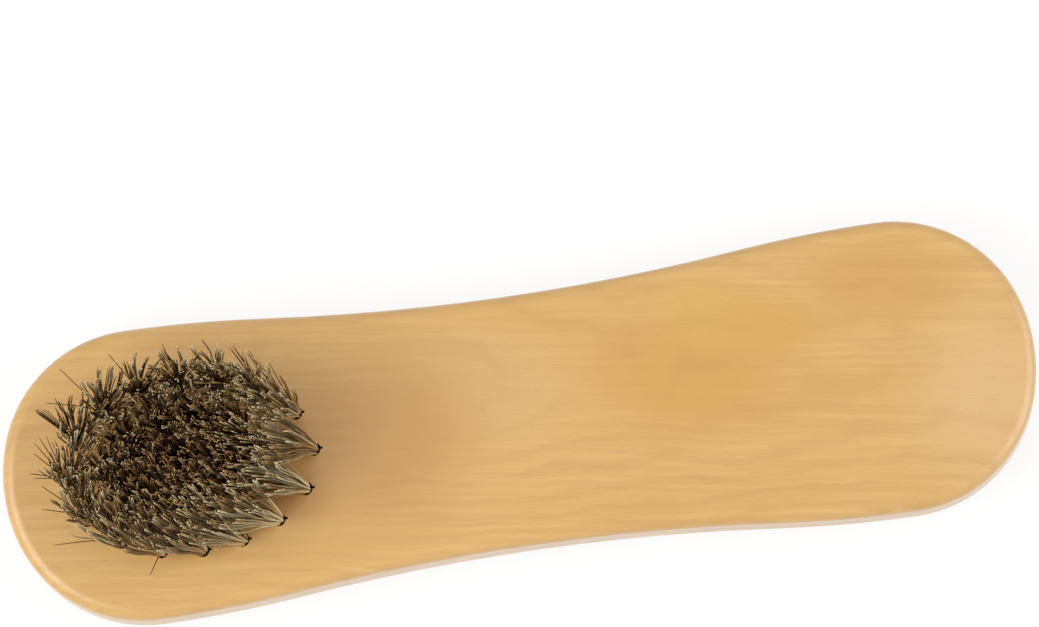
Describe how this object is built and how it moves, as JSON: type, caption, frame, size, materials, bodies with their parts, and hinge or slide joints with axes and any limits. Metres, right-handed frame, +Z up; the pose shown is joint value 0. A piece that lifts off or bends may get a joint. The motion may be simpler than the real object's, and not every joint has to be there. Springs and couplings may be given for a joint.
{
  "type": "shoe shine brush",
  "caption": "Small shoe shine brush: a flat waisted wooden block, rounded at both ends, with one oval field of mixed dark and light hair tufts at one end.",
  "frame": {"origin": "centre of the flat back that the block lies on", "axes": "+X along the brush from the hair end to the bare hand end, +Z up from the flat back through the hair, +Y across"},
  "size_m": [0.16, 0.0452, 0.027],
  "materials": {
    "wood": "pale beech, sanded smooth and clear lacquered, satin",
    "hair": "natural horse hair, mixed near-black, brown and blond",
    "anchor_wire": "plain flat steel wire, cut to length"
  },
  "bodies": {
    "root": {"handle": "wood", "tuft_01": "hair", "tuft_02": "hair", "tuft_03": "hair", "tuft_04": "hair", "tuft_05": "hair", "tuft_06": "hair", "tuft_07": "hair", "tuft_08": "hair", "tuft_09": "hair", "tuft_10": "hair", "tuft_11": "hair", "tuft_12": "hair", "tuft_13": "hair", "tuft_14": "hair", "tuft_15": "hair", "tuft_16": "hair", "tuft_17": "hair", "tuft_18": "hair", "tuft_19": "hair", "tuft_20": "hair", "tuft_21": "hair", "tuft_22": "hair", "tuft_23": "hair", "tuft_24": "hair", "tuft_25": "hair", "tuft_26": "hair", "tuft_27": "hair", "tuft_28": "hair", "tuft_29": "hair", "anchors": "anchor_wire"}
  },
  "joints": []
}
